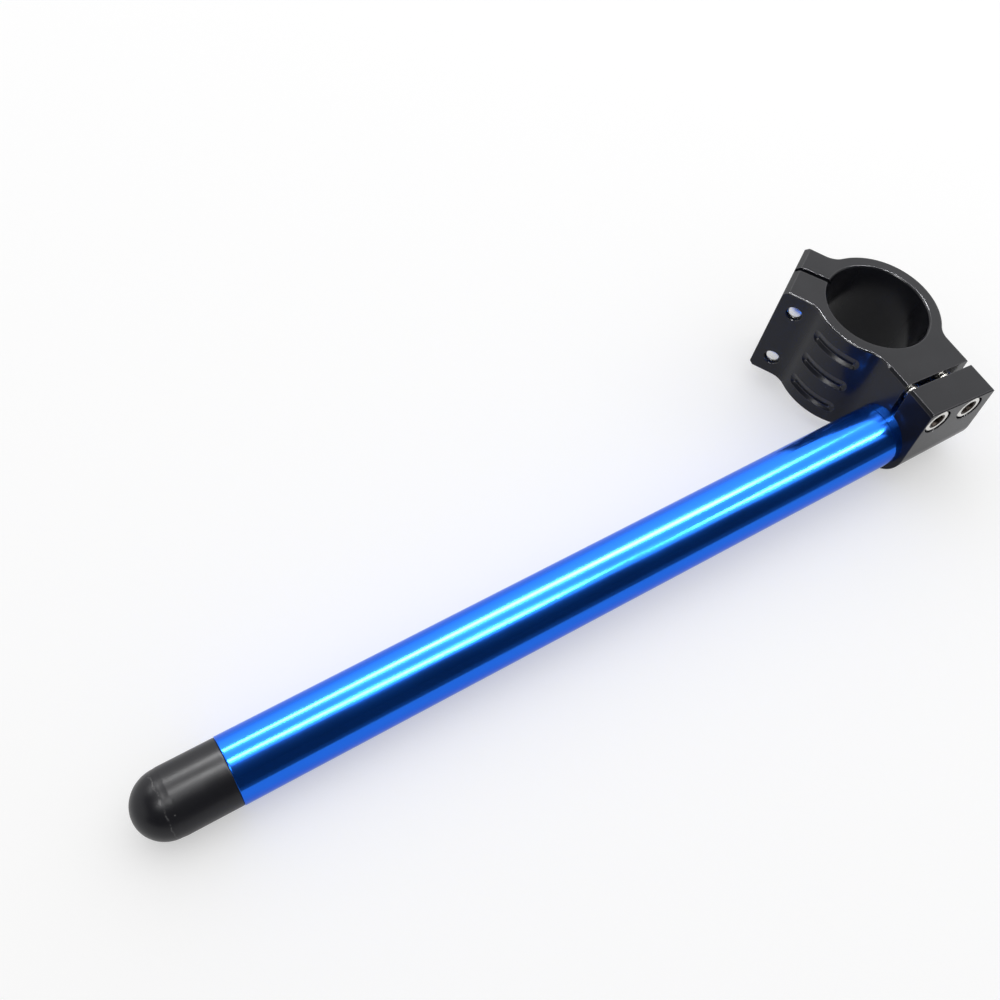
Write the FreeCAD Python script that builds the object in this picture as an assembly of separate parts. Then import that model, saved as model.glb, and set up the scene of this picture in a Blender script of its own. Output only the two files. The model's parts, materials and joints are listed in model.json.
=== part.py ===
import FreeCAD, Part
import math
import os

V = FreeCAD.Vector
os.makedirs("parts", exist_ok=True)

# Clip-on handlebar. Millimetres. Origin on the fork bore's axis at half the clamp's height.
# +Z runs up the fork, +X towards the grip end, +Y from the fork bore to the bar block.

# fork ring
fork_d = 39.0
ring_wall = 4.8
clamp_h = 40.0
bore_mouth = 0.5
edge_break = 0.4

# bar
bar_d = 22.2
bar_wall = 3.5
bar_droop = 9.0
bar_y = 34.4
bar_z = -3.0
bar_shoulder = 17.8
bar_seat_step = 0.2
bar_outer_end = 264.0
bar_inner_end = -16.7
bar_end_chamfer = 0.8
bar_seat_gap = 0.05

# end cap
cap_inset = 0.2
cap_straight = 19.0
cap_spigot_length = 16.0
cap_spigot_gap = 0.05
cap_spigot_chamfer = 1.0
cap_lip = 0.15

# bar block
block_front = 15.7
block_rear = 15.3
end_wall = 2.2
underside_r = 14.5
block_blend = 8.0
front_chamfer = 1.0
slot_w = 2.0

# ears
ear_angle = -56.5
ear_reach = 32.4
ear_front = 14.4
ear_rear = 12.8
ear_blend = 8.0
ear_end_chamfer = 1.8
slit_w = 2.0
slit_skew = 3.0

# screws
screw_d = 6.0
screw_length = 20.0
screw_tip = 0.6
head_d = 10.0
head_h = 6.0
head_chamfer = 0.5
hex_af = 5.0
hex_depth = 3.0
head_gap = 0.5
bar_head_recess = 0.25
fork_head_recess = 0.6
clearance_gap = 0.3
thread_gap = 0.05
bar_screw_x = (9.7, -6.0)
bar_screw_drop = 6.0
fork_screw_setback = 6.7
fork_screw_inset = 8.0

# ring grooves
groove_z = (12.0, 0.0, -12.0)
groove_depth = 1.15
groove_root = 1.8
groove_top = 2.2
groove_bottom = 3.0
groove_front = (-3.6, 35.1)
groove_rear = (146.9, 251.6)

# derived sizes
fork_r = fork_d / 2
ring_r = fork_r + ring_wall
half_h = clamp_h / 2
bar_r = bar_d / 2
seat_r = bar_r - bar_seat_step
bar_bore_r = seat_r + bar_seat_gap
tube_bore_r = bar_r - bar_wall
block_end = bar_y + bar_r + end_wall
screw_r = screw_d / 2
head_r = head_d / 2
pocket_r = head_r + head_gap
past = 5.0
bar_screw_z = half_h - bar_screw_drop
fork_screw_e = ear_reach - fork_screw_setback
fork_screw_z = (half_h - fork_screw_inset, fork_screw_inset - half_h)

BAR = FreeCAD.Placement(V(0, bar_y, bar_z), FreeCAD.Rotation(V(0, 1, 0), bar_droop))
EAR = FreeCAD.Placement(V(0, 0, 0), FreeCAD.Rotation(V(0, 0, 1), ear_angle))


def box(x0, x1, y0, y1, z0, z1):
    return Part.makeBox(x1 - x0, y1 - y0, z1 - z0, V(x0, y0, z0))


def rod(r, start, end, axis):
    """Cylinder of radius r from start to end millimetres along a unit axis."""
    return Part.makeCylinder(r, end - start, axis * start, axis)


def cone(r0, r1, start, end, axis):
    return Part.makeCone(r0, r1, end - start, axis * start, axis)


def placed(shape, placement):
    moved = shape.copy()
    moved.Placement = placement.multiply(moved.Placement)
    return moved


def prism(points, direction):
    """Closed polygon swept along a vector."""
    wire = Part.makePolygon(points + [points[0]])
    return Part.Face(wire).extrude(direction)


def save(name, shape):
    solid = shape.removeSplitter()
    if solid.ShapeType != "Solid":
        solid = solid.Solids[0]
    solid.exportStep("parts/" + name + ".step")


def vertical_edges(shape, spots):
    """Full-height edges that pass within a hair of the given x, y spots."""
    found = []
    for edge in shape.Edges:
        a, b = edge.Vertexes[0].Point, edge.Vertexes[-1].Point
        if abs(a.z - b.z) < clamp_h - 0.01 or math.hypot(a.x - b.x, a.y - b.y) > 0.01:
            continue
        if any(math.hypot(a.x - x, a.y - y) < 0.05 for x, y in spots):
            found.append(edge)
    return found


def in_ear(e, n):
    """Object x, y of a point e out along the ears and n across them."""
    p = EAR.multVec(V(e, n, 0))
    return p.x, p.y


def clamp_blank():
    """Ring, block and ears as one prism with blended inner corners."""
    ring = rod(ring_r, -half_h, half_h, V(0, 0, 1))
    block = box(-block_rear, block_front, 0, block_end, -half_h, half_h)
    ears = placed(box(0, ear_reach, -ear_rear, ear_front, -half_h, half_h), EAR)
    blank = ring.fuse([block, ears]).removeSplitter()
    block_spots = [
        (block_front, math.sqrt(ring_r**2 - block_front**2)),
        (-block_rear, math.sqrt(ring_r**2 - block_rear**2)),
    ]
    ear_spots = [
        in_ear(math.sqrt(ring_r**2 - ear_front**2), ear_front),
        in_ear(math.sqrt(ring_r**2 - ear_rear**2), -ear_rear),
    ]
    blank = blank.makeFillet(block_blend, vertical_edges(blank, block_spots))
    return blank.makeFillet(ear_blend, vertical_edges(blank, ear_spots))


def break_rims(blank):
    """Small chamfer round the outline of the top and bottom faces."""
    rims = []
    for edge in blank.Edges:
        box_ = edge.BoundBox
        if box_.ZLength < 0.001 and abs(abs(box_.ZMax) - half_h) < 0.001:
            rims.append(edge)
    return blank.makeChamfer(edge_break, rims)


def ear_end_cuts():
    """Wedges that take the top and bottom edges off the ear ends."""
    reach, top, cut = ear_reach, half_h, ear_end_chamfer
    low, across = -ear_rear - past, V(0, ear_rear + ear_front + 2 * past, 0)
    cuts = []
    for side in (1, -1):
        corner = [
            V(reach - cut - past, low, side * (top + past)),
            V(reach + past, low, side * (top - cut - past)),
            V(reach + past, low, side * (top + past)),
        ]
        cuts.append(placed(prism(corner, across), EAR))
    return cuts


def underside_cut():
    """Everything below the block's underside, which follows the bar's droop and rounds up to the block's end."""
    reach, deep = block_front + block_rear, 2 * clamp_h
    end = block_end - bar_y
    round_y = end - underside_r
    below = box(-reach, reach, -bar_y, end + past, -deep, 0)
    flat = box(-reach, reach, -bar_y - past, round_y, -underside_r, past)
    round_ = Part.makeCylinder(underside_r, 2 * reach, V(-reach, round_y, 0), V(1, 0, 0))
    outside = placed(below.cut([flat, round_]), BAR)
    return outside.cut(rod(ring_r, -clamp_h, clamp_h, V(0, 0, 1)))


def front_edge_cut():
    """45 degree cut along the block's front top edge, with the cutter's cone where it starts."""
    size = 3.0
    start = math.sqrt((ring_r + block_blend) ** 2 - (block_front + block_blend) ** 2) + size
    inner, top = block_front - front_chamfer, half_h
    wedge = prism(
        [V(inner, start, top), V(inner + size, start, top - size), V(inner + size, start, top)],
        V(0, block_end - start + past, 0),
    )
    tool = Part.makeCone(0, size, size, V(inner + size, start, top - size), V(0, 0, 1))
    return wedge.fuse(tool)


def groove(z, span):
    """Groove along the ring's wall, as a tilted cone-shaped tool leaves it: a long slope above its root, a short
    steep one below, and the cone's own shape at both ends."""
    out = 0.3
    root_r, root_z = ring_r - groove_depth, z - groove_root
    rise, fall = groove_top + groove_root, groove_bottom - groove_root
    grow = (groove_depth + out) / groove_depth
    corners = [
        V(root_r, 0, root_z),
        V(ring_r + out, 0, root_z - fall * grow),
        V(ring_r + out, 0, root_z + rise * grow),
    ]
    face = Part.Face(Part.makePolygon(corners + corners[:1]))
    face.rotate(V(0, 0, 0), V(0, 0, 1), span[0])
    parts = [face.revolve(V(0, 0, 0), V(0, 0, 1), span[1] - span[0])]
    above, below = math.atan2(rise, groove_depth), math.atan2(fall, groove_depth)
    half, tilt = (above + below) / 2, (above - below) / 2
    height = math.hypot(rise, groove_depth) * grow * math.cos(half)
    for angle in span:
        a = math.radians(angle)
        root = V(root_r * math.cos(a), root_r * math.sin(a), root_z)
        axis = V(math.cos(tilt) * math.cos(a), math.cos(tilt) * math.sin(a), math.sin(tilt))
        parts.append(Part.makeCone(0, height * math.tan(half), height, root, axis))
    return parts


def screw_cuts(seat, mouth, split, tip):
    """Pocket, clearance hole and tapped hole along +Z local, from the head side down."""
    axis = V(0, 0, 1)
    return [
        rod(pocket_r, seat, mouth, axis),
        rod(screw_r + clearance_gap, split, seat, axis),
        rod(screw_r + thread_gap, tip, split, axis),
    ]


def screw(seat):
    """Socket-head cap screw along +Z local, its head resting on the seat."""
    axis = V(0, 0, 1)
    top, tip = seat + head_h, seat - screw_length
    head = rod(head_r, seat, top - head_chamfer, axis)
    bevel = cone(head_r, head_r - head_chamfer, top - head_chamfer, top, axis)
    shank = rod(screw_r, tip + screw_tip, seat, axis)
    end = cone(screw_r - screw_tip, screw_r, tip, tip + screw_tip, axis)
    corner_r = hex_af / 2 / math.cos(math.pi / 6)
    corners = []
    for i in range(6):
        a = math.pi / 3 * i
        corners.append(V(corner_r * math.cos(a), corner_r * math.sin(a), top - hex_depth))
    socket = prism(corners, V(0, 0, hex_depth + past))
    return head.fuse([bevel, shank, end]).cut(socket)


def bar_screw_place(x):
    """Local +Z becomes +Y at the bar screw's height."""
    return FreeCAD.Placement(V(x, 0, bar_screw_z), FreeCAD.Rotation(V(1, 0, 0), -90))


def fork_screw_place(z):
    """Local +Z points out of the rear ear, across the slit."""
    across = FreeCAD.Placement(V(fork_screw_e, 0, z), FreeCAD.Rotation(V(1, 0, 0), 90))
    return EAR.multiply(across)


bar_screw_seat = block_end - bar_head_recess - head_h
fork_screw_seat = ear_rear - fork_head_recess - head_h
x_axis = V(1, 0, 0)

# clamp body
body = break_rims(clamp_blank())
fork_bore = rod(fork_r, -half_h - past, half_h + past, V(0, 0, 1))
mouths = [
    Part.makeCone(fork_r, fork_r + bore_mouth, bore_mouth, V(0, 0, half_h - bore_mouth), V(0, 0, 1)),
    Part.makeCone(fork_r, fork_r + bore_mouth, bore_mouth, V(0, 0, bore_mouth - half_h), V(0, 0, -1)),
]
bar_bore = placed(rod(bar_bore_r, -40, 40, x_axis), BAR)
bar_slot = box(
    -block_rear - past, block_front + past, bar_y - slot_w / 2, bar_y + slot_w / 2, bar_z, half_h + past
)
slit = box(-ear_reach, past, -slit_w / 2, slit_w / 2, -half_h - past, half_h + past)
slit.rotate(V(0, 0, 0), V(0, 0, 1), slit_skew)
slit = slit.common(box(-(ear_reach - fork_r / 2), past, -past, past, -half_h - past, half_h + past))
slit.translate(V(ear_reach, 0, 0))
slit = placed(slit, EAR)
body = body.cut([fork_bore] + mouths + [bar_bore, bar_slot, slit, underside_cut(), front_edge_cut()])
body = body.cut(ear_end_cuts())
for z in groove_z:
    body = body.cut(groove(z, groove_front) + groove(z, groove_rear))
for x in bar_screw_x:
    cuts = screw_cuts(bar_screw_seat, block_end + past, bar_y, fork_r / 2)
    body = body.cut([placed(c, bar_screw_place(x)) for c in cuts])
for z in fork_screw_z:
    cuts = screw_cuts(fork_screw_seat, ear_rear + past, 0, -ear_front - past)
    body = body.cut([placed(c, fork_screw_place(z)) for c in cuts])
save("clamp_body", body)

# bar tube: full diameter outside the clamp, turned down where the clamp grips it
full = rod(bar_r, bar_shoulder, bar_outer_end, x_axis)
seat = rod(seat_r, bar_inner_end + bar_end_chamfer, bar_shoulder, x_axis)
inner_bevel = cone(seat_r - bar_end_chamfer, seat_r, bar_inner_end, bar_inner_end + bar_end_chamfer, x_axis)
hollow = rod(tube_bore_r, bar_inner_end - past, bar_outer_end + past, x_axis)
tube = full.fuse([seat, inner_bevel]).cut(hollow)
save("bar_tube", placed(tube, BAR))

# end cap: plug in the tube, straight skirt, domed end a hair smaller than the skirt
cap_r = bar_r - cap_inset
dome_r = cap_r - cap_lip
skirt = rod(cap_r, bar_outer_end, bar_outer_end + cap_straight, x_axis)
spigot_r = tube_bore_r - cap_spigot_gap
spigot_in = bar_outer_end - cap_spigot_length
spigot = rod(spigot_r, spigot_in + cap_spigot_chamfer, bar_outer_end, x_axis)
spigot_tip = cone(
    spigot_r - cap_spigot_chamfer, spigot_r, spigot_in, spigot_in + cap_spigot_chamfer, x_axis
)
dome = Part.makeSphere(dome_r, V(bar_outer_end + cap_straight, 0, 0))
dome = dome.common(rod(cap_r, bar_outer_end + cap_straight - 1, bar_outer_end + 40, x_axis))
cap = skirt.fuse([spigot, spigot_tip, dome])
save("bar_end_cap", placed(cap, BAR))

# screws
for name, x in zip(("bar_screw_outer", "bar_screw_inner"), bar_screw_x):
    save(name, placed(screw(bar_screw_seat), bar_screw_place(x)))
for name, z in zip(("fork_screw_upper", "fork_screw_lower"), fork_screw_z):
    save(name, placed(screw(fork_screw_seat), fork_screw_place(z)))
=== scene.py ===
import json
import math

import bpy
import numpy as np
from mathutils import Matrix

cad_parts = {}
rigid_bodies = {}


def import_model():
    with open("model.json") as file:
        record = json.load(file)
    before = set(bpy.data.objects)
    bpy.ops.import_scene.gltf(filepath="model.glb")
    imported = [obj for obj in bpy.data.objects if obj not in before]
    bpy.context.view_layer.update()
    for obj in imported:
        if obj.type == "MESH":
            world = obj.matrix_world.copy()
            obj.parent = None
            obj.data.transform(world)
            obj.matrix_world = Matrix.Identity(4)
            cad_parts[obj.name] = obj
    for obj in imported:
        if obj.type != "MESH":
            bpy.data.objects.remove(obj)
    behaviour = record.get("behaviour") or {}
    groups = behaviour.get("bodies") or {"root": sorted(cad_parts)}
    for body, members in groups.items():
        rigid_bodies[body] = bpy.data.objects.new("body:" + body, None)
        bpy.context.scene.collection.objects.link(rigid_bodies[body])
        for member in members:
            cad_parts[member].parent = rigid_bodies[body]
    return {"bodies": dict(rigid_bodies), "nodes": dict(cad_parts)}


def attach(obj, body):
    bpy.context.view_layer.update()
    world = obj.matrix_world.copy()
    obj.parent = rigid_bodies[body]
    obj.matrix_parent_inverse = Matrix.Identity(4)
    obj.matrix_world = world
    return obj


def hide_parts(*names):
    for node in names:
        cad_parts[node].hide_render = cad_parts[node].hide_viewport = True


# Clip-on handlebar: clamp, bar tube, end cap and four cap screws. Metres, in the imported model's frame:
# +Z up the fork, +X towards the grip end, +Y from the fork bore to the bar block.

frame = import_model()
kept = set(frame["nodes"].values()) | set(frame["bodies"].values())
for spare in [o for o in bpy.context.scene.objects if o not in kept]:
    bpy.data.objects.remove(spare)
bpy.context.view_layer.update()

# Sizes in millimetres

MM = 0.001
up = np.array([0.0, 0.0, 1.0])

# the bar's axis
droop = math.radians(9.0)
bar_start = np.array([0.0, 34.4, -3.0])
bar_axis = np.array([math.cos(droop), 0.0, -math.sin(droop)])
bar_up = np.array([math.sin(droop), 0.0, math.cos(droop)])

# the tube's radii, and where its inner end, shoulder and outer end stand along the bar
tube_r, seat_r, bore_r = 11.1, 10.9, 7.6
tube_in, shoulder, tube_out = -16.7, 17.8, 264.0

# the cap: its radius, its skirt before the dome, its spigot in the tube, and its moulding line along the bar
cap_r, cap_skirt = 10.9, 19.0
spigot_long, spigot_gap = 16.0, 0.05
mould_line, mould_wander = 284.8, 0.9

# the screws: M6, 20 long, head 10 across and 6 high, 5 mm socket
screw_r, screw_long, pitch = 3.0, 20.0, 1.0
head_r, head_high, knurls = 5.0, 6.0, 36
socket_flats, socket_deep, socket_rim = 5.0, 3.0, 3.3

# the seats of the bar screws' heads on the block, as y and z, and each one's node, x and turn in degrees
bar_seat_y, bar_seat_z = 41.45, 14.0
bar_screws = (("bar_screw_outer", 9.7, 12.0), ("bar_screw_inner", -6.0, 41.0))

# the seats of the fork screws' heads on the ear, out along it and off its middle, and each node, z and turn
ear = math.radians(-56.5)
ear_along = np.array([math.cos(ear), math.sin(ear), 0.0])
ear_across = np.array([-math.sin(ear), math.cos(ear), 0.0])
ear_seat_out, ear_seat_off = 25.7, 6.2
fork_screws = (("fork_screw_upper", 12.0, 25.0), ("fork_screw_lower", -12.0, 3.0))


# Shapes

def girth(count):
    """count angles evenly spaced round one turn."""
    return np.arange(count) * (2.0 * math.pi / count)


def carried_round(along, radius, angle, start, axis, side):
    """Points of a profile carried round an axis. A point stands at start + axis * along, and then radius away
    from the axis in the direction side * cos(angle) + (axis x side) * sin(angle)."""
    across = np.cross(axis, side)
    out = np.cos(angle)[..., None] * side + np.sin(angle)[..., None] * across
    return start + along[..., None] * axis + radius[..., None] * out


def skin(name, points, looped=False, crease=32.0, bands=None):
    """A closed mesh over a grid of points in millimetres, rows along the profile and columns round the girth.
    Columns join on themselves. The last row joins the first when looped, and otherwise both end rows close in
    a fan on their middle. bands gives each row of faces its material's number."""
    rows, columns = points.shape[:2]
    here = np.arange(rows * columns).reshape(rows, columns)
    beside = np.roll(here, -1, axis=1)
    if looped:
        quads = np.stack([here, beside, np.roll(beside, -1, axis=0), np.roll(here, -1, axis=0)], axis=-1)
    else:
        quads = np.stack([here[:-1], beside[:-1], beside[1:], here[1:]], axis=-1)
    numbers = np.zeros(quads.shape[0], int) if bands is None else np.asarray(bands, int)
    numbers = np.repeat(numbers, columns)
    faces = quads.reshape(-1, 4).tolist()
    vertices = points.reshape(-1, 3)
    if not looped:
        middles = points[[0, -1]].mean(axis=1)
        vertices = np.vstack([vertices, middles])
        first = np.full(columns, rows * columns)
        faces += np.stack([beside[0], here[0], first], axis=-1).tolist()
        faces += np.stack([here[-1], beside[-1], first + 1], axis=-1).tolist()
        ends = np.repeat([numbers[0], numbers[-1]], columns)
        numbers = np.concatenate([numbers, ends])
    mesh = bpy.data.meshes.new(name)
    mesh.from_pydata((vertices * MM).tolist(), [], faces)
    mesh.polygons.foreach_set("material_index", numbers.astype(np.int32))
    mesh.shade_smooth()
    mesh.set_sharp_from_angle(angle=math.radians(crease))
    mesh.update()
    piece = bpy.data.objects.new(name, mesh)
    bpy.context.scene.collection.objects.link(piece)
    return piece


def rounded(profile, reach=0.3, steps=4):
    """Rounds the corners of a profile of (along, radius, round) rows. Where round is above 0 the corner is
    replaced by a quadratic curve: (1-t)^2 * before + 2t(1-t) * corner + t^2 * after, with before and after
    round millimetres along the two runs, and one more row reach further out on each run to hold the flats."""
    rows = np.array(profile, float)
    t = np.linspace(0.0, 1.0, steps + 1)[:, None]
    pieces = [rows[:1, :2]]
    for back, (along, radius, size), ahead in zip(rows[:-2], rows[1:-1], rows[2:]):
        corner = np.array([along, radius])
        if size <= 0:
            pieces.append(corner[None])
            continue
        to_back, to_ahead = back[:2] - corner, ahead[:2] - corner
        long_back, long_ahead = np.linalg.norm(to_back), np.linalg.norm(to_ahead)
        before = corner + to_back * (size / long_back)
        after = corner + to_ahead * (size / long_ahead)
        curve = (1 - t) ** 2 * before + 2 * t * (1 - t) * corner + t ** 2 * after
        hold_back = corner + to_back * (min(size + reach, 0.5 * (size + long_back)) / long_back)
        hold_ahead = corner + to_ahead * (min(size + reach, 0.5 * (size + long_ahead)) / long_ahead)
        pieces += [hold_back[None], curve, hold_ahead[None]]
    pieces.append(rows[-1:, :2])
    return np.vstack(pieces)


def turned(name, profile, start, axis, side, columns=256, **how):
    """A lathe-turned piece: every row of the profile keeps one radius all the way round."""
    angle = np.broadcast_to(girth(columns), (len(profile), columns))
    along = np.broadcast_to(profile[:, :1], angle.shape)
    radius = np.broadcast_to(profile[:, 1:], angle.shape)
    return skin(name, carried_round(along, radius, angle, start, axis, side), **how)


def bar_tube():
    """The drawn tube as one closed loop: out along the seat, the shoulder and the grip length, round the
    outer lip, back down the bore and round the inner lip, whose cut face is left bare."""
    slope, slope_lip = 0.3, 0.12
    outer_lip, mouth_lip, inner_lip = 0.3, 0.25, 0.4
    chamfer, bare_from = 0.8, 0.3
    face_low, face_high = bore_r + 1.2, bore_r + 1.5
    seat_from = tube_in + chamfer + 0.2
    outside = rounded([
        (seat_from, seat_r, 0), (shoulder - slope, seat_r, 0), (shoulder, tube_r, slope_lip),
        (tube_out, tube_r, outer_lip), (tube_out, face_high, 0),
    ])
    inside = rounded([
        (tube_out, face_low, 0), (tube_out, bore_r, mouth_lip),
        (tube_in, bore_r, inner_lip), (tube_in, face_low, 0),
    ])
    lip = rounded([
        (tube_in, face_high + 0.1, 0), (tube_in, seat_r - chamfer, 0.1),
        (tube_in + chamfer, seat_r, 0.15), (seat_from - 0.05, seat_r, 0),
    ])
    profile = np.vstack([outside, inside, lip])
    cut = (profile[:, 0] < tube_in + inner_lip) & (profile[:, 1] > bore_r + bare_from)
    return turned("blue_tube", profile, bar_start, bar_axis, bar_up, looped=True, bands=cut)


def end_cap():
    """The moulded plug: spigot, straight skirt and a dome. The dome's rows stand at
    start + R * sin(a) along and R * cos(a) out, a running from 0 to nearly a quarter turn."""
    inset, taper, chamfer, seam_gap = 0.15, 1.3, 1.0, 0.02
    spigot_r, spigot_in, seam = bore_r - spigot_gap, tube_out - spigot_long, tube_out + seam_gap
    dome_r, dome_at = cap_r - inset, tube_out + cap_skirt
    skirt = rounded([
        (spigot_in, 1.0, 0), (spigot_in, spigot_r - chamfer, 0.1), (spigot_in + chamfer, spigot_r, 0.1),
        (seam, spigot_r, 0.05), (seam, cap_r, 0.35),
        (dome_at - taper, cap_r, 0.2), (dome_at, dome_r, 0),
    ], reach=0.15)
    a = np.radians(np.linspace(1.5, 88.0, 40))
    dome = np.stack([dome_at + dome_r * np.sin(a), dome_r * np.cos(a)], axis=-1)
    profile = np.vstack([skirt, dome])
    return turned("domed_cap", profile, bar_start, bar_axis, bar_up, columns=192)


def cap_screw(name, seat, axis, side, turn):
    """A socket head cap screw. seat is the point under the head and axis runs from the tip to the head.
    Thread: radius = crest - depth * wave, where the wave is a flattened triangle of (along / pitch - angle /
    full turn) that fades out at both ends. Knurl: the head's side dips by depth * (0.5 - 0.5 * cos(knurls *
    angle)). Socket: radius = half the flats / cos(angle folded into one sixth of a turn), which draws a
    hexagon. Tip: along = tip + dome * radius^2. The socket's rows have the second material."""
    columns, thread_rows = 144, 112
    tip_dome, tip_chamfer, thread_stop = 0.05, 0.6, -1.6
    thread_deep, knurl_deep, easing, bevel_least = 0.52, 0.16, 0.02, 2.62
    tip, top = -screw_long, head_high
    crest, rim = screw_r - easing, head_r - easing
    angle = girth(columns)
    folded = np.mod(angle - math.radians(turn) + math.pi / 6, math.pi / 3) - math.pi / 6
    hexagon = 0.5 * socket_flats / np.cos(folded)
    knurled = rim - knurl_deep * (0.5 - 0.5 * np.cos(knurls * angle))

    shank = np.linspace(tip + tip_chamfer, thread_stop, thread_rows)[:, None]
    wave = np.abs(2.0 * np.mod(shank / pitch - angle / (2 * math.pi), 1.0) - 1.0)
    fade = np.clip((shank - tip - tip_chamfer) / 0.5, 0, 1) * np.clip((thread_stop - shank) / 0.8, 0, 1)
    thread = crest - thread_deep * fade * np.clip(1.3 * wave - 0.12, 0, 1)

    domed_tip = [(tip + tip_dome * radius ** 2, radius) for radius in (0.15, 0.5, 0.9, 1.3, 1.7, 2.0, 2.25)]
    neck = [(-0.25, crest), (-0.08, screw_r + 0.06), (0.0, screw_r + 0.3)]
    head = [
        (0.0, head_r - 0.35), (0.1, head_r - 0.15), (0.35, knurled), (top - 1.3, knurled),
        (top - 0.95, rim), (top - 0.55, rim), (top - 0.3, head_r - 0.1), (top - 0.1, head_r - 0.3),
        (top, head_r - 0.55), (top, head_r - 0.8), (top, socket_rim + 0.1), (top - 0.05, socket_rim),
    ]
    floor = top - socket_deep
    socket = [
        (top - 0.3, np.maximum(hexagon, bevel_least)), (top - 0.45, hexagon), (floor + 0.1, hexagon),
        (floor, hexagon - 0.12), (floor - 0.25, 0.55 * hexagon), (floor - 0.5, 0.12 * hexagon),
    ]
    rows = [*domed_tip, *zip(shank[:, 0], thread), *neck, *head, *socket]
    along = np.array([np.full(columns, row_along) for row_along, _ in rows])
    radius = np.array([np.broadcast_to(row_radius, columns) for _, row_radius in rows])
    points = carried_round(along, radius, np.broadcast_to(angle, radius.shape), seat, axis, side)
    # the socket's rows take the second material, whose dark colour is painted shade
    in_socket = np.arange(len(rows) - 1) >= len(rows) - len(socket) - 1
    return skin(name, points, crease=38.0, bands=in_socket)


# Nodes of shader trees

# the noise values between which a slow drift mostly lies, and between which a broken mark fades in
drift_low, drift_high = 0.3, 0.7
break_low, break_high = 0.42, 0.62


def add(tree, kind, links=None, **settings):
    """One node of a tree. settings that name a property set it, and links maps an input's name or number to a
    value or to another node's output."""
    node = tree.nodes.new("ShaderNode" + kind)
    for label, value in settings.items():
        setattr(node, label, value)
    for label, value in (links or {}).items():
        if isinstance(value, bpy.types.NodeSocket):
            tree.links.new(value, node.inputs[label])
        else:
            node.inputs[label].default_value = value
    return node


def maths(tree, operation, *values):
    """The result of one sum on two or three values."""
    return add(tree, "Math", dict(enumerate(values)), operation=operation).outputs[0]


def mixed(tree, share, low, high):
    """A colour between low and high by share."""
    return add(tree, "Mix", {0: share, 6: low, 7: high}, data_type="RGBA").outputs[2]


def ranged(tree, value, low, high, start=0.0, end=1.0):
    """value stretched from start..end to low..high."""
    links = {"Value": value, "From Min": start, "From Max": end, "To Min": low, "To Max": high}
    return add(tree, "MapRange", links).outputs[0]


def bumped(tree, height, strength, deep, **links):
    """A normal that follows height, up to deep metres high."""
    links = {"Strength": strength, "Distance": deep, "Height": height, **links}
    return add(tree, "Bump", links).outputs[0]


# Shader groups that materials share

def new_group(name, inputs, outputs):
    """An empty shader group with the named sockets. inputs and outputs are (name, kind, default) rows."""
    group = bpy.data.node_groups.new(name, "ShaderNodeTree")
    for way, rows in (("INPUT", inputs), ("OUTPUT", outputs)):
        for label, kind, value in rows:
            socket = group.interface.new_socket(label, in_out=way, socket_type="NodeSocket" + kind)
            if value is not None:
                socket.default_value = value
    return group, group.nodes.new("NodeGroupInput"), group.nodes.new("NodeGroupOutput")


def noise_of(group, given, size, detail, roughness=0.5):
    """Noise whose marks are as large as the group's input named size."""
    scale = maths(group, "DIVIDE", 1.0, given.outputs[size])
    links = {"Vector": given.outputs["Vector"], "Scale": scale, "Detail": detail, "Roughness": roughness}
    return add(group, "TexNoise", links).outputs["Fac"]


def build_fine_grain():
    """Height and colour drift of a blasted or moulded skin: one fine noise, and one large slow one."""
    group, given, made = new_group(
        "fine_grain",
        [("Vector", "Vector", None), ("Grain size", "Float", 0.0002), ("Drift size", "Float", 0.01)],
        [("Height", "Float", None), ("Drift", "Float", None)],
    )
    group.links.new(noise_of(group, given, "Grain size", 3.0, 0.6), made.inputs["Height"])
    group.links.new(noise_of(group, given, "Drift size", 4.0, 0.55), made.inputs["Drift"])
    return group


def build_edge_rub():
    """Softened normal near an edge, and a broken mask of where the edge is rubbed: one minus the dot product
    of the true normal and the softened one, stretched from Start, and then cut by noise."""
    group, given, made = new_group(
        "edge_rub",
        [("Vector", "Vector", None), ("Width", "Float", 0.0003),
         ("Start", "Float", 0.05), ("Break size", "Float", 0.002)],
        [("Mask", "Float", None), ("Edge", "Float", None), ("Normal", "Vector", None)],
    )
    edge_span = 0.06
    soft = add(group, "Bevel", {"Radius": given.outputs["Width"]}, samples=6).outputs[0]
    flat = add(group, "NewGeometry").outputs["Normal"]
    dot = add(group, "VectorMath", {0: soft, 1: flat}, operation="DOT_PRODUCT").outputs["Value"]
    full = maths(group, "ADD", given.outputs["Start"], edge_span)
    edge = ranged(group, maths(group, "SUBTRACT", 1.0, dot), 0.0, 1.0, given.outputs["Start"], full)
    broken = ranged(group, noise_of(group, given, "Break size", 4.0), 0.0, 1.0, break_low, break_high)
    mask = maths(group, "MULTIPLY", edge, broken)
    for label, output in (("Mask", mask), ("Edge", edge), ("Normal", soft)):
        group.links.new(output, made.inputs[label])
    return group


def build_specks():
    """Small scattered marks: cells whose random number is below a share, kept only near the cell's middle."""
    group, given, made = new_group(
        "specks",
        [("Vector", "Vector", None), ("Spacing", "Float", 0.003),
         ("Speck share", "Float", 0.1), ("Speck radius", "Float", 0.1)],
        [("Mask", "Float", None)],
    )
    scale = maths(group, "DIVIDE", 1.0, given.outputs["Spacing"])
    cells = add(group, "TexVoronoi", {"Vector": given.outputs["Vector"], "Scale": scale})
    chance = add(group, "SeparateColor", {0: cells.outputs["Color"]})
    picked = maths(group, "LESS_THAN", chance.outputs[0], given.outputs["Speck share"])
    size = maths(group, "MULTIPLY", given.outputs["Speck radius"], chance.outputs[1])
    near = maths(group, "LESS_THAN", cells.outputs["Distance"], size)
    group.links.new(maths(group, "MULTIPLY", picked, near), made.inputs["Mask"])
    return group


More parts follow.
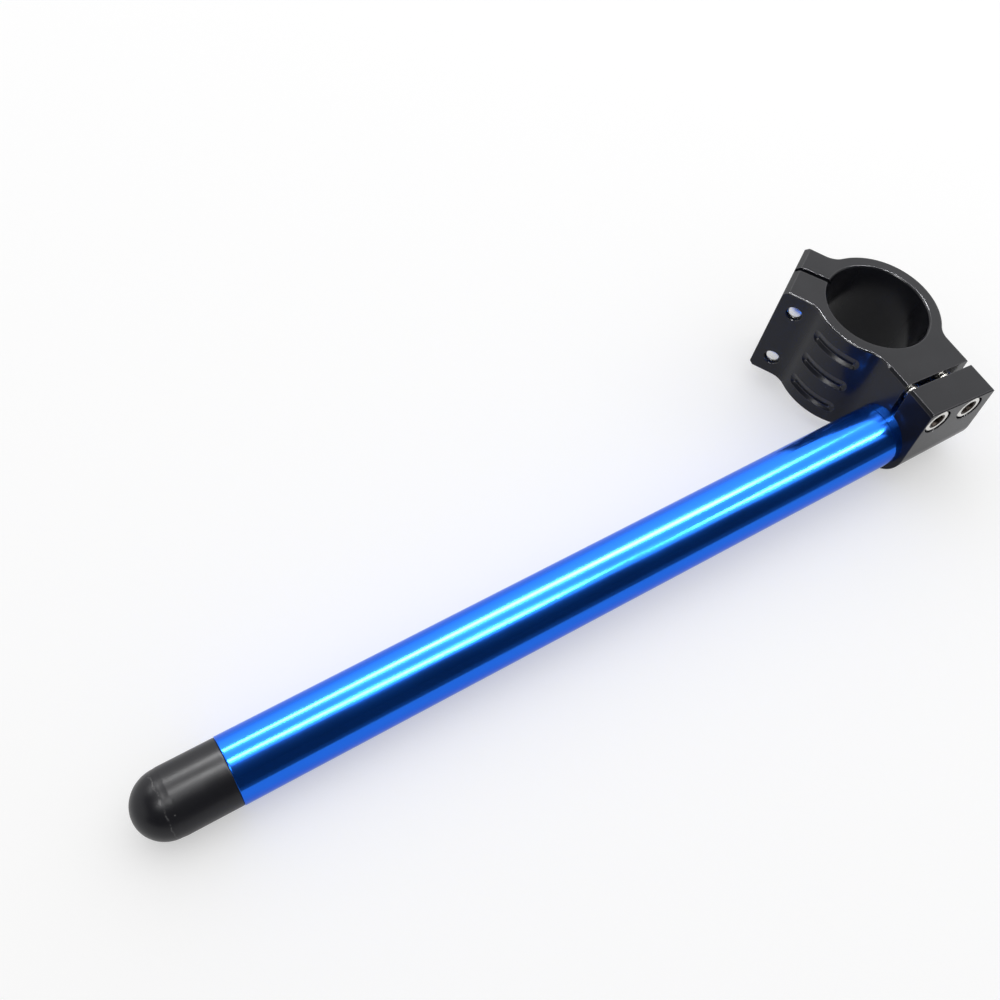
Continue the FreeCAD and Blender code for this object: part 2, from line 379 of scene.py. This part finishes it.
fine_grain = build_fine_grain()
edge_rub = build_edge_rub()
specks = build_specks()


def placed(tree, group, place, **sizes):
    """One of the shared groups over the coordinates place. sizes are its inputs, with _ for each space."""
    links = {label.replace("_", " "): value for label, value in sizes.items()}
    return add(tree, "Group", {"Vector": place, **links}, node_tree=group)


def drifting(tree, grain, low, high):
    """A value from low to high that follows the grain's slow drift."""
    return ranged(tree, grain.outputs["Drift"], low, high, drift_low, drift_high)


# Finishes

def new_finish(name, **constants):
    """A material with its Principled shader's plain values set on its own sockets."""
    material = bpy.data.materials.new(name)
    material.use_nodes = True
    tree = material.node_tree
    shader = tree.nodes["Principled BSDF"]
    for label, value in constants.items():
        shader.inputs[label.replace("_", " ")].default_value = value
    return material, tree, shader


def feed(tree, shader, **outputs):
    """Links each output to the shader's socket of that name, an underscore for each space."""
    for label, output in outputs.items():
        tree.links.new(output, shader.inputs[label.replace("_", " ")])


def black_anodised():
    """Satin black anodised billet: a near-black skin with fine blasted grain, slow cloudiness in its gloss, a
    few specks, and edges rubbed paler in places. Every edge also shines like metal: a painted sheen that
    mirrors the lamps as brighter glints."""
    dark_dye, pale_dye = (0.009, 0.0095, 0.0125, 1), (0.014, 0.0145, 0.019, 1)
    rubbed_metal, pale_speck, edge_painted_sheen = (0.35, 0.35, 0.36, 1), (0.25, 0.25, 0.26, 1), (0.1, 0.1, 0.105, 1)
    rub_share, speck_share = 0.18, 0.25
    material, tree, shader = new_finish("satin_black_anodise", IOR=1.34)
    place = add(tree, "TexCoord").outputs["Object"]
    grain = placed(tree, fine_grain, place, Grain_size=0.00025, Drift_size=0.012)
    rub = placed(tree, edge_rub, place, Width=0.0004, Start=0.015, Break_size=0.004)
    dust = placed(tree, specks, place, Spacing=0.0022, Speck_share=0.05, Speck_radius=0.09)
    dyed = mixed(tree, grain.outputs["Drift"], dark_dye, pale_dye)
    rubbed = mixed(tree, maths(tree, "MULTIPLY", rub.outputs["Mask"], rub_share), dyed, rubbed_metal)
    marked = mixed(tree, maths(tree, "MULTIPLY", dust.outputs["Mask"], speck_share), rubbed, pale_speck)
    # along every edge, worn or not, the colour and Metallic are a painted sheen for brighter glints
    feed(tree, shader,
         Base_Color=mixed(tree, rub.outputs["Edge"], marked, edge_painted_sheen),
         Metallic=rub.outputs["Edge"],
         Roughness=drifting(tree, grain, 0.15, 0.22),
         Normal=bumped(tree, grain.outputs["Height"], 0.12, 0.00002, Normal=rub.outputs["Normal"]))
    return material


def blue_anodised():
    """Bright-dipped blue anodised tube: a clear-coated metal mirror with faint lines left along it by
    drawing."""
    deep_dye, pale_dye = (0.008, 0.148, 0.85, 1), (0.012, 0.172, 0.91, 1)
    material, tree, shader = new_finish(
        "bright_blue_anodise", Metallic=0.92, Specular_Tint=(0.08, 0.5, 1.0, 1),
        Coat_Weight=0.95, Coat_Roughness=0.2, Coat_IOR=1.2,
    )
    place = add(tree, "TexCoord").outputs["Object"]
    level = add(tree, "Mapping", {"Vector": place, "Rotation": (0.0, -droop, 0.0), "Scale": (0.02, 1.0, 1.0)})
    lines = placed(tree, fine_grain, level.outputs[0], Grain_size=0.0006, Drift_size=0.004)
    cloud = placed(tree, fine_grain, place, Grain_size=0.003, Drift_size=0.03)
    feed(tree, shader,
         Base_Color=mixed(tree, lines.outputs["Drift"], deep_dye, pale_dye),
         Roughness=drifting(tree, cloud, 0.14, 0.18),
         Normal=bumped(tree, lines.outputs["Height"], 0.1, 0.00002))
    return material


def cut_aluminium():
    """The tube's sawn inner end: bare metal with a fine grain."""
    dull_metal, clean_metal = (0.62, 0.63, 0.65, 1), (0.8, 0.8, 0.82, 1)
    material, tree, shader = new_finish("cut_aluminium", Metallic=1.0)
    place = add(tree, "TexCoord").outputs["Object"]
    grain = placed(tree, fine_grain, place, Grain_size=0.0003, Drift_size=0.004)
    feed(tree, shader,
         Base_Color=mixed(tree, grain.outputs["Drift"], dull_metal, clean_metal),
         Roughness=ranged(tree, grain.outputs["Height"], 0.25, 0.45),
         Normal=bumped(tree, grain.outputs["Height"], 0.3, 0.00003))
    return material


def cap_plastic():
    """Matt moulded black plastic: grained skin, a few pale scuffs, and a pale moulding line near the start of
    the dome. The line wanders along the bar with the slow drift, and a second grain breaks it up."""
    dark_skin, pale_skin, scuffed = (0.008, 0.008, 0.011, 1), (0.014, 0.014, 0.018, 1), (0.3, 0.3, 0.3, 1)
    scuff_share, line_share, line_half, line_edge = 0.3, 0.25, 0.0001, 0.0004
    material, tree, shader = new_finish("matt_black_plastic", IOR=1.33)
    place = add(tree, "TexCoord").outputs["Object"]
    grain = placed(tree, fine_grain, place, Grain_size=0.0004, Drift_size=0.006)
    scuffs = placed(tree, specks, place, Spacing=0.0028, Speck_share=0.1, Speck_radius=0.1)
    breaks = placed(tree, fine_grain, place, Grain_size=0.0016, Drift_size=0.02)
    along = add(tree, "VectorMath", {0: place, 1: tuple(bar_axis)}, operation="DOT_PRODUCT").outputs["Value"]
    wander = drifting(tree, grain, (mould_line - mould_wander) * MM, (mould_line + mould_wander) * MM)
    away = maths(tree, "ABSOLUTE", maths(tree, "SUBTRACT", along, wander))
    worn = ranged(tree, breaks.outputs["Height"], 0.0, 1.0, break_low, break_high)
    line = maths(tree, "MULTIPLY", ranged(tree, away, line_share, 0.0, line_half, line_edge), worn)
    faint = maths(tree, "MULTIPLY_ADD", scuffs.outputs["Mask"], scuff_share, line)
    feed(tree, shader,
         Base_Color=mixed(tree, faint, mixed(tree, grain.outputs["Drift"], dark_skin, pale_skin), scuffed),
         Roughness=drifting(tree, grain, 0.3, 0.35),
         Normal=bumped(tree, grain.outputs["Height"], 0.35, 0.00004))
    return material


def plated_steel():
    """Bright plated steel: pale metal with a slight stain."""
    stained, clean = (0.74, 0.73, 0.7, 1), (0.92, 0.91, 0.88, 1)
    material, tree, shader = new_finish("plated_steel", Metallic=1.0)
    place = add(tree, "TexCoord").outputs["Object"]
    grain = placed(tree, fine_grain, place, Grain_size=0.0003, Drift_size=0.0025)
    feed(tree, shader,
         Base_Color=mixed(tree, grain.outputs["Drift"], stained, clean),
         Roughness=drifting(tree, grain, 0.18, 0.34),
         Normal=bumped(tree, grain.outputs["Height"], 0.15, 0.00003))
    return material


def socket_painted_shade():
    """The pressed inside of a screw's socket: unpolished, and dark with painted shade of the deep recess."""
    deepest_shade, palest_shade = (0.02, 0.016, 0.014, 1), (0.07, 0.055, 0.045, 1)
    material, tree, shader = new_finish("socket_painted_shade", Metallic=0.8)
    place = add(tree, "TexCoord").outputs["Object"]
    grain = placed(tree, fine_grain, place, Grain_size=0.0003, Drift_size=0.002)
    feed(tree, shader,
         Base_Color=mixed(tree, grain.outputs["Drift"], deepest_shade, palest_shade),
         Roughness=ranged(tree, grain.outputs["Height"], 0.35, 0.55))
    return material


# The object

clamp = frame["nodes"]["clamp_body"]
clamp.data.materials.clear()
clamp.data.materials.append(black_anodised())
# the second finish paints shade inside the sockets
screw_finishes = (plated_steel(), socket_painted_shade())


def fitted(piece, node, slot, *materials):
    """Puts a piece on the root body in place of its CAD node, with its materials."""
    for material in materials:
        piece.data.materials.append(material)
    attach(piece, "root")
    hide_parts(node)


def fitted_screw(node, seat, axis, turn):
    """One cap screw, its socket turned about its axis from straight up."""
    fitted(cap_screw("cap_" + node, seat, axis, up, turn), node, "screw_steel", *screw_finishes)


fitted(bar_tube(), "bar_tube", "bar_blue", blue_anodised(), cut_aluminium())
fitted(end_cap(), "bar_end_cap", "cap_black", cap_plastic())
for node, x, turn in bar_screws:
    fitted_screw(node, np.array([x, bar_seat_y, bar_seat_z]), np.array([0.0, 1.0, 0.0]), turn)
for node, z, turn in fork_screws:
    fitted_screw(node, ear_seat_out * ear_along - ear_seat_off * ear_across + z * up, -ear_across, turn)


# Studio

# the surface that the part lies on, touching the clamp's lower edge and the cap's underside
rest_up = np.array([0.13361, -0.10653, 0.98529])
rest_up /= np.linalg.norm(rest_up)
rest_point = -23.789 * rest_up

# the directions that the lamps run in and lie across
lamp_run = math.radians(-34.0)
run = np.array([math.cos(lamp_run), math.sin(lamp_run), 0.0])
over = np.array([-math.sin(lamp_run), math.cos(lamp_run), 0.0])

# the tent's half length, half span, height and last degree, and its glow by degrees over the arch
tent_reach, tent_span, tent_high, tent_last = 1500, 1500, 1100, 105.5
tent_glow = ((0, 1.0), (10, 1.3), (24, 1.6), (36, 1.7), (46, 1.55), (52, 1.5), (57, 1.6), (62, 1.7),
             (68, 1.8), (78, 1.7), (90, 1.6), (104, 1.5))
# the degrees and the glow at the far ends of the curve that holds them
full_degrees, full_glow = 120.0, 4.0

# how strongly matt surfaces are lit by the tent and the sky, against what the camera or a polish sees of them
tent_matt, sky_matt = 0.7, 0.6

# the floor's half width and colour, and how far it is lifted for polished surfaces and for the camera
floor_half, floor_grey = 6000.0, (0.62, 0.62, 0.62, 1)
lift_polished, lift_camera = 0.29, 0.42


def overhead(along, across, height):
    """A point above the part: along the lamps' run, across it, and up."""
    return run * along + over * across + up * height


def on_floor(x, y):
    """A point 1 mm above the floor."""
    point = np.array([x, y, 0.0])
    return point + up * ((rest_point - point) @ rest_up / rest_up[2] + 1.0)


def aimed(centre, right, down):
    """The place of a camera or lamp at centre that faces along right x down, with its top opposite down."""
    turn = np.column_stack([right, -down, -np.cross(right, down), centre * MM])
    return Matrix([*turn.tolist(), [0.0, 0.0, 0.0, 1.0]])


def stage_sheet(name, points, faces):
    """A mesh of the stage, its points in millimetres."""
    mesh = bpy.data.meshes.new(name)
    mesh.from_pydata((np.array(points) * MM).tolist(), [], faces)
    sheet = bpy.data.objects.new(name, mesh)
    bpy.context.scene.collection.objects.link(sheet)
    return sheet


def blank_finish(name):
    """A material with an empty tree, for a sheet of the stage."""
    material = bpy.data.materials.new(name)
    material.use_nodes = True
    material.node_tree.nodes.clear()
    return material, material.node_tree


def straight_rays(tree):
    """1 for rays from the camera, off polished surfaces and through clear ones, and 0 for the rest."""
    path = add(tree, "LightPath").outputs
    seen = maths(tree, "MAXIMUM", path["Is Camera Ray"], path["Is Glossy Ray"])
    return maths(tree, "MAXIMUM", seen, path["Is Transmission Ray"])


def floor_sheet():
    """A wide white floor. It is lifted to white for the camera and less for polished surfaces, and it keeps
    the part's shadow."""
    east = np.cross(np.array([0.0, 1.0, 0.0]), rest_up)
    east /= np.linalg.norm(east)
    north = np.cross(rest_up, east)
    ways = ((-1, -1), (1, -1), (1, 1), (-1, 1))
    corners = [rest_point + floor_half * (a * east + b * north) for a, b in ways]
    material, tree = blank_finish("white_floor")
    seen = ranged(tree, add(tree, "LightPath").outputs["Is Camera Ray"], lift_polished, lift_camera)
    glow = add(tree, "Emission", {"Strength": maths(tree, "MULTIPLY", straight_rays(tree), seen)})
    diffuse = add(tree, "BsdfDiffuse", {"Color": floor_grey})
    both = add(tree, "AddShader", {0: diffuse.outputs[0], 1: glow.outputs[0]})
    add(tree, "OutputMaterial", {"Surface": both.outputs[0]})
    stage_sheet("white_floor", corners, [(0, 1, 2, 3)]).data.materials.append(material)


def light_tent():
    """A white tent lit from behind: an arch round the lamps' run, from the floor on the far side over the top
    to its edge. Point = run * along - over * span * cos(angle) + up * high * sin(angle). Its glow follows a
    curve over the arch, and lights matt surfaces at a part of what polished ones mirror."""
    rows, columns = 65, 3
    turns = np.radians(np.linspace(0.0, tent_last, rows))
    lengths = np.linspace(-tent_reach, tent_reach, columns)
    angle, along = np.meshgrid(turns, lengths, indexing="ij")
    side, high = tent_span * np.cos(angle), tent_high * np.sin(angle)
    points = run * along[..., None] - over * side[..., None] + up * high[..., None]
    here = np.arange(angle.size).reshape(angle.shape)
    quads = np.stack([here[:-1, :-1], here[:-1, 1:], here[1:, 1:], here[1:, :-1]], axis=-1)
    tent = stage_sheet("light_tent", points.reshape(-1, 3), quads.reshape(-1, 4).tolist())
    tent.visible_camera = False

    mesh = tent.data
    seen_at = (np.degrees(np.arctan2(high, side)) / full_degrees).reshape(-1)
    corners = np.empty(len(mesh.loops), np.int32)
    mesh.loops.foreach_get("vertex_index", corners)
    unrolled = np.stack([seen_at[corners], np.zeros(len(corners))], axis=-1)
    mesh.uv_layers.new(name="arch").data.foreach_set("uv", unrolled.astype(np.float32).reshape(-1))

    material, tree = blank_finish("light_tent")
    material.cycles.emission_sampling = "NONE"
    place = add(tree, "SeparateXYZ", {0: add(tree, "TexCoord").outputs["UV"]}).outputs["X"]
    curve = add(tree, "FloatCurve", {"Value": place})
    line = curve.mapping.curves[0]
    while len(line.points) < len(tent_glow):
        line.points.new(0.5, 0.5)
    for point, (degrees, level) in zip(line.points, tent_glow):
        point.location = (degrees / full_degrees, level / full_glow)
        point.handle_type = "AUTO_CLAMPED"
    curve.mapping.update()
    level = maths(tree, "MULTIPLY", curve.outputs[0], full_glow)
    mirrored = ranged(tree, add(tree, "LightPath").outputs["Is Glossy Ray"], tent_matt, 1.0)
    glow = add(tree, "Emission", {"Strength": maths(tree, "MULTIPLY", level, mirrored)})
    add(tree, "OutputMaterial", {"Surface": glow.outputs[0]})
    mesh.materials.append(material)


def dark_card(name, corners):
    """A dark board, outside the picture or hidden from the camera, which only polished surfaces see."""
    card = stage_sheet(name, corners, [(0, 1, 2, 3)])
    card.visible_camera = card.visible_diffuse = card.visible_shadow = False
    card.data.materials.append(new_finish(name, Base_Color=(0.03, 0.03, 0.03, 1), Roughness=1.0)[0])


def soft_lamp(name, centre, along, across, long, wide, radiance):
    """A narrow rectangular lamp facing along x across, for the streaks in polished surfaces. Its power is
    radiance * pi * area, and matt surfaces get no light from it."""
    data = bpy.data.lights.new(name, "AREA")
    data.shape = "RECTANGLE"
    data.size, data.size_y = long * MM, wide * MM
    data.energy = radiance * math.pi * long * wide * MM * MM
    lamp = bpy.data.objects.new(name, data)
    lamp.matrix_world = aimed(centre, along / np.linalg.norm(along), across / np.linalg.norm(across))
    bpy.context.scene.collection.objects.link(lamp)
    lamp.visible_camera = lamp.visible_diffuse = False


# each lamp's name, centre, long and short directions, length, width and radiance
lamps = (
    ("strip_near", overhead(470, -580, 980), run - 0.2 * over, -over - 0.2 * run, 1020, 175, 68.0),
    ("lamp_end", overhead(1440, -480, 850), over, -0.55 * run - 0.83 * up, 800, 350, 13.0),
    ("lamp_far", overhead(520, 740, 1040), run, -over, 480, 340, 13.0),
    ("strip_far_a", overhead(-620, 105, 1000), run, -over, 620, 55, 90.0),
    ("strip_far_b", overhead(135, 163, 1000), run - 0.1 * over, -over - 0.1 * run, 570, 60, 95.0),
)

# each dark board's name, the function that places its corners, and the corners
side, roof, foot = 1500, 1060, 50
boards = (
    ("dark_ceiling_card", overhead,
     ((-side, 401, roof), (side, 401, roof), (side, side, roof), (-side, side, roof))),
    ("dark_wall_card", overhead,
     ((-side, side, roof), (side, side, roof), (side, side, -350), (-side, side, foot))),
    # the low card lies just above the floor: polished surfaces see it in place of the white floor, a painted
    # dark reflection of the floor near the part
    ("dark_low_card", on_floor,
     ((-side, 115), (side, 115), (side, side), (-side, side))),
    ("dark_far_card", overhead,
     ((-side, 420, roof), (-side, side, roof), (-side, side, foot), (-side, 420, foot))),
    ("dark_end_card", overhead,
     ((side, 0, roof), (side, side, roof), (side, side, 420), (side, 0, 420))),
    ("dark_front_card", overhead,
     ((980, 40, roof - 10), (side, 40, roof - 10), (side, 420, roof - 10), (980, 420, roof - 10))),
)

floor_sheet()
light_tent()
for lamp in lamps:
    soft_lamp(*lamp)
for name, place, corners in boards:
    dark_card(name, [place(*corner) for corner in corners])

world = bpy.context.scene.world or bpy.data.worlds.new("studio")
bpy.context.scene.world = world
world.use_nodes = True
sky = world.node_tree
sky.nodes.clear()
sky_seen = ranged(sky, straight_rays(sky), sky_matt, 1.0)
background = add(sky, "Background", {"Color": (1, 1, 1, 1), "Strength": sky_seen})
add(sky, "OutputWorld", {"Surface": background.outputs[0]})

# the camera that took the photograph: its place in millimetres, and the directions of the picture's right
# and down
eye = np.array([337.5765, 182.9849, 343.3297])
picture_right = np.array([-0.8259755, 0.5213586, 0.2143589])
picture_down = np.array([0.3087752, 0.7365924, -0.6017387])
lens = bpy.data.cameras.new("photo_camera")
lens.sensor_width = 36.0
lens.lens = 48.9048
lens.shift_x, lens.shift_y = -0.06, -0.07
lens.clip_start, lens.clip_end = 0.01, 100.0
camera = bpy.data.objects.new("photo_camera", lens)
camera.matrix_world = aimed(eye, picture_right, picture_down)
bpy.context.scene.collection.objects.link(camera)
bpy.context.scene.camera = camera
bpy.context.scene.view_settings.view_transform = "Standard"

bpy.context.view_layer.update()
